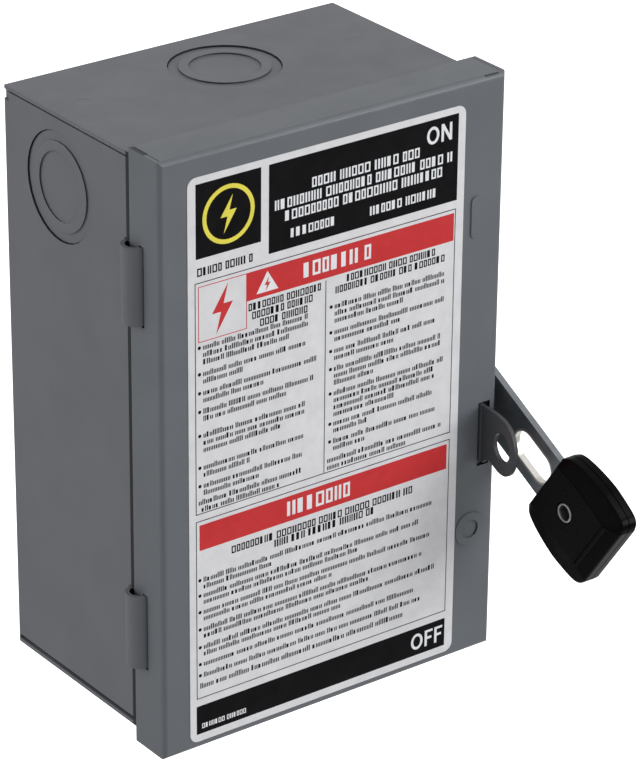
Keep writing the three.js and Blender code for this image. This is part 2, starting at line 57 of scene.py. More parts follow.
# ---------------------------------------------------------------- measures taken from the frame
PIVOT, HINGE = (Vector(next(j["pos_m"] for j in frame["joints"] if j["name"] == name))
                for name in ("handle_pivot", "door_hinge"))
RIVET = sum(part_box("grip_rivet"), Vector()) / 2
ALONG = Vector((0, RIVET.y - PIVOT.y, RIVET.z - PIVOT.z)).normalized()
ACROSS = ALONG.cross(Vector((1, 0, 0)))
# Half a millimetre behind the door's front face.
DOOR_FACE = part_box("door_panel")[0].y + 0.0005


def handle_point(x, along, across):
    """A point by its X, its distance along the arm from the pivot, and its offset to the upper side."""
    return Vector((x * MM, PIVOT.y, PIVOT.z)) + ALONG * along * MM + ACROSS * across * MM


# ---------------------------------------------------------------- materials
def srgb(red, green, blue):
    """Linear colour of an 8-bit sRGB colour."""
    def linear(c):
        c /= 255
        return c / 12.92 if c <= 0.04045 else ((c + 0.055) / 1.055) ** 2.4

    return (linear(red), linear(green), linear(blue), 1.0)


class Surface:
    """A procedural Principled material whose textures sit on a piece's own coordinates."""

    def __init__(self, name, metallic=0.0, specular=0.5):
        self.material = bpy.data.materials.new(name)
        self.material.use_nodes = True
        self.tree = self.material.node_tree
        self.shader = self.tree.nodes["Principled BSDF"]
        self.shader.inputs["Metallic"].default_value = metallic
        self.shader.inputs["Specular IOR Level"].default_value = specular
        self.coords = self.node("ShaderNodeTexCoord").outputs["Object"]
        self.bumped = None

    def node(self, kind, **values):
        made = self.tree.nodes.new(kind)
        for key, value in values.items():
            setattr(made, key, value)
        return made

    def link(self, source, target):
        self.tree.links.new(source, target)

    def feed(self, socket, value):
        if isinstance(value, bpy.types.NodeSocket):
            self.link(value, socket)
        else:
            socket.default_value = value

    def stretched(self, x, y, z):
        """The piece's coordinates, scaled by a factor along each axis."""
        made = self.node("ShaderNodeMapping")
        self.link(self.coords, made.inputs["Vector"])
        made.inputs["Scale"].default_value = (x, y, z)
        return made.outputs["Vector"]

    def noise(self, size, detail=3.0, roughness=0.55, coords=None):
        """Noise whose features are about size millimetres across."""
        made = self.node("ShaderNodeTexNoise")
        self.link(coords or self.coords, made.inputs["Vector"])
        made.inputs["Scale"].default_value = 1 / (size * MM)
        made.inputs["Detail"].default_value = detail
        made.inputs["Roughness"].default_value = roughness
        return made.outputs["Fac"]

    def remap(self, value, low, high, to_low=0.0, to_high=1.0):
        made = self.node("ShaderNodeMapRange")
        self.link(value, made.inputs["Value"])
        limits = {"From Min": low, "From Max": high, "To Min": to_low, "To Max": to_high}
        for key, number in limits.items():
            made.inputs[key].default_value = number
        return made.outputs["Result"]

    def maths(self, operation, a, b=0.0):
        made = self.node("ShaderNodeMath", operation=operation)
        self.feed(made.inputs[0], a)
        self.feed(made.inputs[1], b)
        return made.outputs["Value"]

    def distance(self, u, v, centre_u, centre_v):
        """Distance of the point (u, v) from a centre."""
        du, dv = self.maths("SUBTRACT", u, centre_u), self.maths("SUBTRACT", v, centre_v)
        squares = self.maths("ADD", self.maths("MULTIPLY", du, du), self.maths("MULTIPLY", dv, dv))
        return self.maths("SQRT", squares)

    def both(self, first, *others):
        """1 where every mask is 1."""
        for other in others:
            first = self.maths("MULTIPLY", first, other)
        return first

    def blend(self, factor, a, b):
        """Colour a where factor is 0 and colour b where it is 1."""
        made = self.node("ShaderNodeMix", data_type="RGBA")
        self.feed(made.inputs["Factor"], factor)
        self.feed(made.inputs["A"], a)
        self.feed(made.inputs["B"], b)
        return made.outputs["Result"]

    def axis(self, letter):
        """One of the piece's own coordinates, in metres."""
        made = self.node("ShaderNodeSeparateXYZ")
        self.link(self.coords, made.inputs["Vector"])
        return made.outputs[letter]

    def color(self, value):
        self.feed(self.shader.inputs["Base Color"], value)

    def roughness(self, value):
        self.feed(self.shader.inputs["Roughness"], value)

    def bump(self, height, depth):
        """Relief of depth millimetres."""
        made = self.node("ShaderNodeBump")
        self.link(height, made.inputs["Height"])
        made.inputs["Distance"].default_value = depth * MM
        made.inputs["Strength"].default_value = 1.0
        if self.bumped:
            self.link(self.bumped, made.inputs["Normal"])
        self.bumped = made.outputs["Normal"]
        self.link(self.bumped, self.shader.inputs["Normal"])


def enamel(s, shade, gloss=0.42):
    """Baked grey enamel on sheet steel: orange peel, faint mottling, a few rubbed marks."""
    dark, light = [tuple(c * k for c in shade[:3]) + (1.0,) for k in (0.93, 1.07)]
    mottle = s.remap(s.noise(26, 4, 0.6), 0.35, 0.65)
    speck = s.remap(s.noise(0.5, 2, 0.7), 0.3, 0.7)
    tone = s.maths("ADD", s.maths("MULTIPLY", mottle, 0.6), s.maths("MULTIPLY", speck, 0.4))
    base = s.blend(tone, dark, light)
    streaks = s.remap(s.noise(9, 6, 0.75, s.stretched(1.0, 0.6, 4.0)), 0.70, 0.80, 0, 0.16)
    s.roughness(s.remap(s.noise(14, 3, 0.6), 0.3, 0.7, gloss - 0.05, gloss + 0.07))
    s.bump(s.noise(1.1, 2, 0.5), 0.010)
    s.bump(s.noise(60, 1, 0.5), 0.12)
    return s.blend(streaks, base, srgb(150, 153, 157))


# Where the darkened parts and the painted shade of the enamelled sheets lie, in metres.
KNOCKOUT_REACH = 0.0182
WALL_BAND = 0.003
HOOK_REACH = 0.0036
HINGE_SLOTS_RIGHT = -0.0595
HINGE_SLOTS_FRONT = HINGE.y - 0.0056
TAB_SLOT_LEFT = 0.0580
TAB_SLOT_RIGHT = 0.0635
DOOR_SHEET = 0.0013
WELD_RADIUS = 0.0024
SPOT_WELDS = ((-0.0501, -0.0265), (0.0524, -0.0279))
# Darker colour of the step walls round the knockouts.
KNOCKOUT_WALL_DARK = srgb(40, 40, 43)
# Dark colour painted as shade inside the hinge hooks' curl and on the door's slot walls.
PAINTED_GAP_SHADE = srgb(26, 26, 28)
# Dark colour painted as shade on the hasp tab.
PAINTED_TAB_SHADE = srgb(40, 42, 46)


def sides_only(s, axis):
    """1 on faces that run along an axis and 0 on faces across it."""
    normal = s.node("ShaderNodeSeparateXYZ")
    s.link(s.node("ShaderNodeNewGeometry").outputs["Normal"], normal.inputs["Vector"])
    return s.remap(s.maths("ABSOLUTE", normal.outputs[axis]), 0.45, 0.8, 1.0, 0.0)


def cut_edges(s, color):
    """Darkens the step walls round the knockouts."""
    x, y, z = (s.axis(letter) for letter in "XYZ")
    top_low, top_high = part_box("knockout_top")
    side_low, side_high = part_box("knockout_left")
    top, side = (top_low + top_high) / 2, (side_low + side_high) / 2
    sites = (
        (x, y, top.x, top.y, z, abs(top_high.z), "Z"),
        (y, z, side.y, side.z, x, abs(side_low.x), "X"),
    )
    for u, v, centre_u, centre_v, depth, wall, facing in sites:
        near = s.maths("LESS_THAN", s.distance(u, v, centre_u, centre_v), KNOCKOUT_REACH)
        level = s.maths("GREATER_THAN", s.maths("ABSOLUTE", depth), wall - WALL_BAND)
        color = s.blend(s.both(near, level, sides_only(s, facing)), color, KNOCKOUT_WALL_DARK)
    return color


def inside_hooks(s, color):
    """Paints shade on the inner side of the hinge hooks, inside their curl."""
    inner = s.maths("LESS_THAN", s.distance(s.axis("X"), s.axis("Y"), HINGE.x, HINGE.y), HOOK_REACH)
    return s.blend(s.both(inner, sides_only(s, "Z")), color, PAINTED_GAP_SHADE)


def slot_edges(s, color):
    """Paints shade on the sheared walls of the door's slots for the hinge hooks and the hasp tab."""
    x, y = s.axis("X"), s.axis("Y")
    hinge = s.both(s.maths("LESS_THAN", x, HINGE_SLOTS_RIGHT),
                   s.maths("GREATER_THAN", y, HINGE_SLOTS_FRONT), sides_only(s, "X"))
    tab = s.both(s.maths("GREATER_THAN", x, TAB_SLOT_LEFT), s.maths("LESS_THAN", x, TAB_SLOT_RIGHT),
                 s.maths("LESS_THAN", y, DOOR_FACE + DOOR_SHEET), sides_only(s, "Y"))
    # Painted shade on the slot walls.
    return s.blend(s.maths("MAXIMUM", hinge, tab), color, PAINTED_GAP_SHADE)


def spot_weld(s, centre):
    """A shallow round dent in the top and bottom walls, as a spot welder's tip leaves."""
    reach = s.distance(s.axis("X"), s.axis("Y"), *centre)
    s.bump(s.remap(reach, WELD_RADIUS * 0.7, WELD_RADIUS), 0.16)


def body_enamel():
    """The body's enamel, with darkened knockout step walls, painted shade inside the hinge hooks and on the hasp
    tab, and spot-weld dents.
    """
    s = Surface("body_enamel", specular=0.45)
    color = inside_hooks(s, cut_edges(s, enamel(s, srgb(108, 110, 115))))
    # Painted shade on the hasp tab, where it stands out in front of the door.
    tab = s.remap(s.axis("Y"), DOOR_FACE - 0.0006, DOOR_FACE, 0.68, 0.0)
    s.color(s.blend(tab, color, PAINTED_TAB_SHADE))
    for centre in SPOT_WELDS:
        spot_weld(s, centre)
    return s.material


def door_enamel():
    """The door's enamel, a little glossier than the body's, with painted shade on its slot walls."""
    s = Surface("door_enamel", specular=0.5)
    s.color(slot_edges(s, enamel(s, srgb(107, 111, 116), 0.36)))
    return s.material


def metal(s, shade, roughness, brushed=(1, 1, 1), size=1.2, tarnish=0.12):
    """Colour and relief of plated or bare metal with a directional grain and faint tarnish."""
    dull = tuple(c * (1 - 3 * tarnish) for c in shade[:3]) + (1.0,)
    grain = s.noise(size, 4, 0.7, s.stretched(*brushed))
    cloud = s.remap(s.noise(5, 4, 0.65), 0.4, 0.7, 0, 0.8)
    s.roughness(s.remap(grain, 0.25, 0.75, roughness - 0.07, roughness + 0.1))
    s.bump(grain, 0.008)
    return s.blend(s.maths("MULTIPLY", cloud, s.remap(grain, 0.2, 0.8, 0.4, 1.0)), shade, dull)


def steel(name, shade, roughness, brushed=(1, 1, 1), size=1.2, tarnish=0.12):
    """A bare or plated metal piece's material."""
    s = Surface(name, metallic=1.0)
    s.color(metal(s, shade, roughness, brushed, size, tarnish))
    return s.material


# The centres of the arm's slot ends in millimetres along the arm, and in metres where the painted highlight round
# the slot fades.
ARM_SLOT = (56.0, 65.0)
ARM_SLOT_HIGHLIGHT = (0.0052, 0.0060)
# Where the painted shade down the rivet's bore fades, in metres.
RIVET_BORE_RIM = (0.0023, 0.0026)


def arm_steel():
    """The handle arm's plate, grey from its plating, with a painted highlight round the rim of its slot."""
    s = Surface("arm_plate_steel", metallic=0.85)
    plate = metal(s, srgb(150, 155, 160), 0.36, (1, 0.25, 0.25), 0.9)
    start, end = (handle_point(0, along, 0) for along in ARM_SLOT)
    span = end - start
    y, z = s.maths("SUBTRACT", s.axis("Y"), start.y), s.maths("SUBTRACT", s.axis("Z"), start.z)
    share = s.maths("ADD", s.maths("MULTIPLY", y, span.y / span.length_squared),
                    s.maths("MULTIPLY", z, span.z / span.length_squared))
    share = s.maths("MINIMUM", s.maths("MAXIMUM", share, 0.0), 1.0)
    reach = s.distance(y, z, s.maths("MULTIPLY", share, span.y), s.maths("MULTIPLY", share, span.z))
    # Near-white painted highlight round the slot's rim.
    s.color(s.blend(s.remap(reach, *ARM_SLOT_HIGHLIGHT, 1.0, 0.0), plate, srgb(246, 243, 236)))
    return s.material


def rivet_steel():
    """Steel in its plain bright colour on the rolled rim, with painted shade down the bore."""
    s = Surface("rolled_rivet_steel", metallic=0.9)
    bright = metal(s, srgb(176, 178, 178), 0.34, size=0.7)
    reach = s.distance(s.axis("Y"), s.axis("Z"), RIVET.y, RIVET.z)
    # Painted shade down the bore.
    s.color(s.blend(s.remap(reach, *RIVET_BORE_RIM, 1.0, 0.0), bright, srgb(34, 34, 36)))
    return s.material


def moulded(name, shade, roughness, grain_size, depth, worn, specular=0.5):
    """Moulded plastic: fine texture, cloudy gloss, and paler rubbed patches."""
    s = Surface(name, specular=specular)
    rub = s.remap(s.noise(4, 5, 0.7), 0.58, 0.78, 0, 0.5)
    s.color(s.blend(rub, shade, worn))
    s.roughness(s.remap(s.noise(6, 4, 0.6), 0.3, 0.7, roughness - 0.05, roughness + 0.08))
    s.bump(s.noise(grain_size, 3, 0.6), depth)
    return s.material


def ink(name, shade, specular=0.4):
    """Printed ink under a clear film, with faint unevenness in its density."""
    s = Surface(name, specular=specular)
    light = tuple(min(1.0, c * 1.12 + 0.004) for c in shade[:3]) + (1.0,)
    s.color(s.blend(s.remap(s.noise(7, 4, 0.7), 0.35, 0.75), shade, light))
    s.roughness(s.remap(s.noise(11, 3, 0.6), 0.3, 0.7, 0.35, 0.46))
    s.bump(s.noise(1.6, 2, 0.5), 0.006)
    return s.material


WHITE_FILM = ink("white_film", srgb(227, 227, 230))
BLACK_INK = ink("black_ink", srgb(12, 10, 13), 0.1)
RED_INK = ink("red_ink", srgb(205, 50, 53), 0.3)
YELLOW_INK = ink("yellow_ink", srgb(238, 226, 84))
WHITE_INK = ink("white_ink", srgb(238, 239, 242))

MATERIALS = {
    "body_paint": body_enamel(),
    "door_paint": door_enamel(),
    "arm_steel": arm_steel(),
    "zinc_steel": steel("zinc_plated_steel", srgb(186, 188, 184), 0.3, size=0.8),
    "spring_steel": steel("spring_steel", srgb(118, 120, 124), 0.32, size=0.6),
    "copper": steel("copper_strip", srgb(196, 122, 82), 0.27, (1, 1, 0.2), 1.0, 0.18),
    "tinned_copper": steel("tinned_copper", srgb(196, 194, 186), 0.3, (1, 1, 0.2), 1.0, 0.12),
    "brass": steel("brass_caps", srgb(198, 168, 98), 0.26, (0.3, 0.3, 1), 0.9, 0.16),
    "aluminium": steel("extruded_aluminium", srgb(196, 198, 200), 0.36, (1, 1, 0.12), 0.8),
    "grip_plastic": moulded("black_grip", srgb(5, 5, 7), 0.24, 0.35, 0.003, srgb(12, 12, 14), 0.06),
    "phenolic": moulded("brown_phenolic", srgb(58, 48, 42), 0.5, 0.5, 0.03, srgb(84, 72, 62)),
    "label_print": WHITE_FILM,
    "fuse_fibre": moulded("vulcanised_fibre", srgb(150, 98, 62), 0.68, 0.4, 0.04, srgb(176, 126, 88)),
}
SLOT_OF = {part["node"]: part["material_slot"] for part in frame["record"]["subparts"]}


# ---------------------------------------------------------------- edges of the carried-over pieces
FOLDED_SHEETS = ("enclosure_body", "door_panel")
HARD_ANGLE = 34


def shade_sheet(obj):
    """Shades folded sheet: walls flat right up to their bends, bends smooth, cut edges sharp."""
    mesh = obj.data
    limit = math.cos(math.radians(HARD_ANGLE))
    spots = [tuple(round(value, 6) for value in vertex.co) for vertex in mesh.vertices]
    around = {}
    for polygon in mesh.polygons:
        facing = tuple(round(component, 3) for component in polygon.normal)
        for index in polygon.vertices:
            around.setdefault(spots[index], set()).add(facing)
    normals = []
    for polygon in mesh.polygons:
        for index in polygon.vertices:
            near = [Vector(facing) for facing in sorted(around[spots[index]])
                    if polygon.normal.dot(Vector(facing)) > limit]
            walls = [normal for normal in near if max(abs(component) for component in normal) > 0.9995]
            normals.append(sum(walls or near, Vector()).normalized())
    mesh.normals_split_custom_set(normals)


def soften(obj, width, angle=HARD_ANGLE):
    """Rounds a piece's hard edges, as tumbled, painted or moulded edges are."""
    weld = obj.modifiers.new("weld", "WELD")
    weld.merge_threshold = 2e-6
    bevel = obj.modifiers.new("bevel", "BEVEL")
    bevel.width = width * MM
    bevel.segments = 2
    bevel.limit_method = "ANGLE"
    bevel.angle_limit = math.radians(angle)
    obj.modifiers.new("normals", "WEIGHTED_NORMAL")
    for polygon in obj.data.polygons:
        polygon.use_smooth = True


for name, node in NODES.items():
    node.data.materials.clear()
    node.data.materials.append(MATERIALS[SLOT_OF[name]])
    if name in FOLDED_SHEETS:
        shade_sheet(node)
    else:
        soften(node, 0.2 if name == "handle_arm" else 0.14)


# ---------------------------------------------------------------- mesh helpers
def mesh_object(name, bm):
    """Turns a bmesh into an object of the scene."""
    data = bpy.data.meshes.new(name)
    bm.to_mesh(data)
    bm.free()
    obj = bpy.data.objects.new(name, data)
    scene.collection.objects.link(obj)
    return obj


def mesh_piece(name, bm, material, body):
    """Turns a bmesh into a piece that rides on a body."""
    bmesh.ops.recalc_face_normals(bm, faces=bm.faces)
    obj = mesh_object(name, bm)
    obj.data.materials.append(material)
    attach(obj, body)
    return obj


def cutter(bm):
    """Turns a bmesh into a tool for carve."""
    bmesh.ops.recalc_face_normals(bm, faces=bm.faces)
    return mesh_object("cutter", bm)


def carve(obj, tools):
    """Cuts the tools out of a piece for good, and removes them."""
    for tool in tools:
        cut = obj.modifiers.new("cut", "BOOLEAN")
        cut.operation = "DIFFERENCE"
        cut.solver = "EXACT"
        cut.object = tool
    carved = bpy.data.meshes.new_from_object(obj.evaluated_get(bpy.context.evaluated_depsgraph_get()))
    obj.modifiers.clear()
    obj.data = carved
    for tool in tools:
        bpy.data.objects.remove(tool)


def add_loft(bm, rings):
    """Adds a closed solid through rings of the same number of points."""
    rows = [[bm.verts.new(point) for point in ring_points] for ring_points in rings]
    bm.faces.new(rows[0])
    bm.faces.new(list(reversed(rows[-1])))
    for low, high in zip(rows, rows[1:]):
        for i in range(len(low)):
            j = (i + 1) % len(low)
            bm.faces.new((low[i], low[j], high[j], high[i]))
    return bm


def loft(rings):
    """A bmesh with one closed solid through the rings."""
    return add_loft(bmesh.new(), rings)


# ---------------------------------------------------------------- grip
# In millimetres: X across the arm, then distances along the arm from the pivot and across it.
GRIP_MIDDLE = 69.95
GRIP_SKEW = 0.12
RIVET_ALONG = 83.0
RIVET_HOLE = 2.5
RIVET_SEAT = 3.6
ARM_POCKET = (60, 96, -9.8, 9.8)
GROOVE = (96.0, 96.6, -10.6, 10.6)
# Half widths, each at a distance along the arm.
GRIP_WIDTHS = [(70.3, 13.4), (72, 15.7), (75, 17.1), (80, 18.3), (85, 19.0), (89, 19.2), (93, 18.9),
               (97, 18.4), (99.8, 17.7), (101.7, 16.1), (102.5, 13.8)]
GRIP_FACE_WIDTHS = [(71.2, 10.7), (77, 11.5), (84, 11.9), (90, 11.7), (97.4, 11.2)]
# Distance from the seam, inset of the outline, and whether the ring is the face's outline.
GRIP_RINGS = [(0.15, 0.0, False), (2.2, 0.0, False), (2.75, 0.08, False), (3.05, 0.28, False),
              (3.22, 0.62, False), (4.02, -0.15, True), (4.22, 0.0, True), (4.3, 0.06, True),
              (4.34, 0.2, True)]


def between(pairs, at):
    """Smooth value at a place between listed pairs."""
    at = min(max(at, pairs[0][0]), pairs[-1][0])
    k = max(i for i in range(len(pairs) - 1) if pairs[i][0] <= at)
    (a, va), (b, vb) = pairs[k], pairs[k + 1]

    def slope(i):
        lo, hi = max(i - 1, 0), min(i + 1, len(pairs) - 1)
        return (pairs[hi][1] - pairs[lo][1]) / (pairs[hi][0] - pairs[lo][0])

    t = (at - a) / (b - a)
    h = b - a
    return ((2 * t**3 - 3 * t**2 + 1) * va + (t**3 - 2 * t**2 + t) * h * slope(k)
            + (3 * t**2 - 2 * t**3) * vb + (t**3 - t**2) * h * slope(k + 1))


def grip_ring(x, widths, inset, steps=34):
    """Outline of the grip at one depth, with points closest together at its two ends."""
    start, end = widths[0][0], widths[-1][0]
    side = []
    for k in range(steps + 1):
        share = (1 - math.cos(math.pi * k / steps)) / 2
        half = between(widths, start + share * (end - start)) - inset
        side.append((start + inset + share * (end - start - 2 * inset), half))
    outline = side + [(along, -half) for along, half in reversed(side)]
    return [handle_point(x, along + GRIP_SKEW * half, half) for along, half in outline]


def handle_box(x0, x1, along0, along1, across0, across1, skew=0.0):
    """A cutting block in the handle's own frame."""
    corners = ((along0, across0), (along1, across0), (along1, across1), (along0, across1))
    return cutter(loft([[handle_point(x, along + skew * across, across) for along, across in corners]
                        for x in sorted((x0, x1))]))


def rivet_circle(x, radius, count):
    """Points on a circle round the rivet's axis."""
    points = []
    for k in range(count):
        turn = 2 * math.pi * k / count
        points.append(handle_point(x, RIVET_ALONG + radius * math.cos(turn), radius * math.sin(turn)))
    return points


def rivet_drill(x0, x1, radius):
    """A round cutting tool on the rivet's axis."""
    return cutter(loft([rivet_circle(x, radius, 40) for x in sorted((x0, x1))]))


def grip_half(hand, side):
    """One moulded shell: rolled rim, slanting facets, a stepped face with a groove, and its seats."""
    rings = [grip_ring(GRIP_MIDDLE + side * offset, GRIP_FACE_WIDTHS if on_face else GRIP_WIDTHS, inset)
             for offset, inset, on_face in GRIP_RINGS]
    plastic = MATERIALS["grip_plastic"]
    shell = mesh_piece(f"grip_shell_{hand}", loft(rings), plastic, "handle")
    offsets = (-1, 1.45, 3.5, 4.0, 7)
    inside, pocket, seat, groove, beyond = (GRIP_MIDDLE + side * offset for offset in offsets)
    carve(shell, [
        handle_box(inside, pocket, *ARM_POCKET),
        rivet_drill(inside, beyond, RIVET_HOLE),
        rivet_drill(seat, beyond, RIVET_SEAT),
        handle_box(groove, beyond, *GROOVE, GRIP_SKEW),
    ])
    soften(shell, 0.12, 28)
    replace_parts(shell, f"handle_grip_{hand}")


def grip_rivet():
    """A semi-tubular rivet with a rolled rim at each end."""
    profile = [(0.0, 3.2), (0.8, 3.15), (1.0, 2.2), (2.1, 2.15), (2.3, 2.6), (2.42, 4.2), (2.58, 4.42),
               (2.8, 4.52), (3.05, 4.44), (3.24, 4.2), (3.28, 3.72), (2.2, 3.66)]
    walk = [(-offset, radius) for radius, offset in profile]
    walk += [(offset, radius) for radius, offset in reversed(profile)]
    bm = bmesh.new()
    count = 44
    rows = []
    for offset, radius in walk:
        points = rivet_circle(GRIP_MIDDLE + offset, radius, count if radius else 1)
        rows.append([bm.verts.new(point) for point in points])
    for low, high in zip(rows, rows[1:]):
        for i in range(count):
            j = (i + 1) % count
            corners = [low[i % len(low)], low[j % len(low)], high[j % len(high)], high[i % len(high)]]
            bm.faces.new(list(dict.fromkeys(corners)))
    rivet = mesh_piece("grip_rivet_rolled", bm, rivet_steel(), "handle")
    for polygon in rivet.data.polygons:
        polygon.use_smooth = True
    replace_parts(rivet, "grip_rivet")


grip_half("left", -1)
grip_half("right", 1)
grip_rivet()


# ---------------------------------------------------------------- label
LABEL_LOW, LABEL_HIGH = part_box("door_label")
SHEET_BACK = LABEL_HIGH.y / MM
SHEET_FRONT = LABEL_HIGH.y / MM - 0.14
LAYER = 0.035
SMALL_PRINT = 1.75
BULLET_INDENT = 1.35
MARK_WIDTHS = {"O": 4.7, "N": 4.1, "F": 3.2}
MARK_HEIGHT = 5.7
MARK_WEIGHT = 0.95
SIGN_CENTRE = (-37.4, 75.9)


class Print:
    """Flat printed shapes of one colour, each a thin closed slab on the label."""

    def __init__(self, layer):
        self.bm = bmesh.new()
        self.back = SHEET_FRONT - LAYER * (layer - 1) + 0.005
        self.front = SHEET_FRONT - LAYER * layer

    def slab(self, points):
        """A closed slab from an outline of (x, z) points in millimetres."""
        add_loft(self.bm, [[Vector((x, y, z)) * MM for x, z in points] for y in (self.back, self.front)])

    def band(self, outer, inner):
        """A closed ring between two outlines of the same number of points."""
        rows = [[self.bm.verts.new(Vector((x, y, z)) * MM) for x, z in outline]
                for y in (self.back, self.front) for outline in (outer, inner)]
        back_out, back_in, front_out, front_in = rows
        walls = ((back_out, back_in), (back_in, front_in), (front_in, front_out), (front_out, back_out))
        count = len(outer)
        for i in range(count):
            j = (i + 1) % count
            for a, b in walls:
                self.bm.faces.new((a[i], a[j], b[j], b[i]))

    def rect(self, left, right, bottom, top):
        """A plain upright rectangle."""
        self.slab([(left, bottom), (right, bottom), (right, top), (left, top)])

    def frame(self, left, right, bottom, top, line):
        """A rectangular outline whose stroke lies inside its measures."""
        self.band(*[[(left + d, bottom + d), (right - d, bottom + d),
                     (right - d, top - d), (left + d, top - d)] for d in (0, line)])

    def finish(self, name, material):
        """Turns the print into a piece of the door."""
        mesh_piece(name, self.bm, material, "door")


def rounded(left, right, bottom, top, radius):
    """Outline of a rectangle with rounded corners."""
    steps = 6
    points = []
    corners = ((right - radius, bottom + radius, -90), (right - radius, top - radius, 0),
               (left + radius, top - radius, 90), (left + radius, bottom + radius, 180))
    for cx, cz, start in corners:
        for k in range(steps + 1):
            a = math.radians(start + 90 * k / steps)
            points.append((cx + radius * math.cos(a), cz + radius * math.sin(a)))
    return points


def greek(layer, left, right, base, height, rng, caps=False):
    """One line of meaningless marks in word-like groups, as on a dummy layout."""
    x = left
    line = height * 0.17
    while x < right - height * 0.4:
        for _ in range(rng.randint(3, 9)):
            wide = height * rng.uniform(0.48, 0.66)
            if x + wide > right:
                return
            tall = height if caps else height * rng.choice((0.72, 0.72, 0.72, 1.0))
            kind = rng.random()
            if caps and kind < 0.55:
                layer.frame(x, x + wide, base, base + tall, line)
            elif kind < 0.8:
                layer.rect(x, x + wide * 0.36, base, base + tall)
                layer.rect(x + wide * 0.62, x + wide * 0.98, base, base + tall)
            else:
                layer.rect(x, x + wide * 0.7, base, base + tall)
            x += wide + height * 0.15
        x += height * 0.36


def circle(centre_x, centre_z, radius_x, radius_z, count):
    """Points on a circle or an ellipse."""
    turns = [2 * math.pi * k / count for k in range(count)]
    return [(centre_x + radius_x * math.cos(turn), centre_z + radius_z * math.sin(turn))
            for turn in turns]


def paragraphs(layer, left, right, rows, rng, pitch):
    """Greeked paragraphs with bullets, from pairs of a first line's height and a number of lines."""
    radius = SMALL_PRINT * 0.34
    for middle, lines in rows:
        layer.slab(circle(left - BULLET_INDENT, middle, radius, radius, 8))
        for k in range(lines):
            short = k == lines - 1 and lines > 1
            end = left + (right - left) * (rng.uniform(0.25, 0.8) if short else rng.uniform(0.88, 1.0))
            greek(layer, left, end, middle - SMALL_PRINT / 2 - k * pitch, SMALL_PRINT, rng)


def position_mark(layer, letter, x, base):
    """The position-mark letters O, N and F from plain strokes."""
    width, height, weight = MARK_WIDTHS[letter], MARK_HEIGHT, MARK_WEIGHT
    top, stem, right = base + height, x + weight, x + width
    if letter == "O":
        centre = (x + width / 2, base + height / 2)
        layer.band(*[circle(*centre, width / 2 - shrink, height / 2 - shrink, 32)
                     for shrink in (0, weight)])
    elif letter == "N":
        low, high = base + height * 0.34, base + height * 0.66
        layer.slab([(x, base), (stem, base), (stem, high), (right - weight, base), (right, base),
                    (right, top), (right - weight, top), (right - weight, low), (stem, top), (x, top)])
    else:
        low, high, bar = base + height * 0.42, base + height * 0.58, top - weight * 0.9
        arm = x + width * 0.86
        layer.slab([(x, base), (stem, base), (stem, low), (arm, low), (arm, high), (stem, high),
                    (stem, bar), (right, bar), (right, top), (x, top)])


def bolt(layer, cx, cz, size):
    """A lightning bolt, the plain sign for electricity."""
    shape = [(0.16, 0.62), (-0.30, -0.08), (-0.04, -0.08), (-0.18, -0.62), (0.30, 0.12), (0.03, 0.12)]
    layer.slab([(cx + size * u, cz + size * v) for u, v in shape])


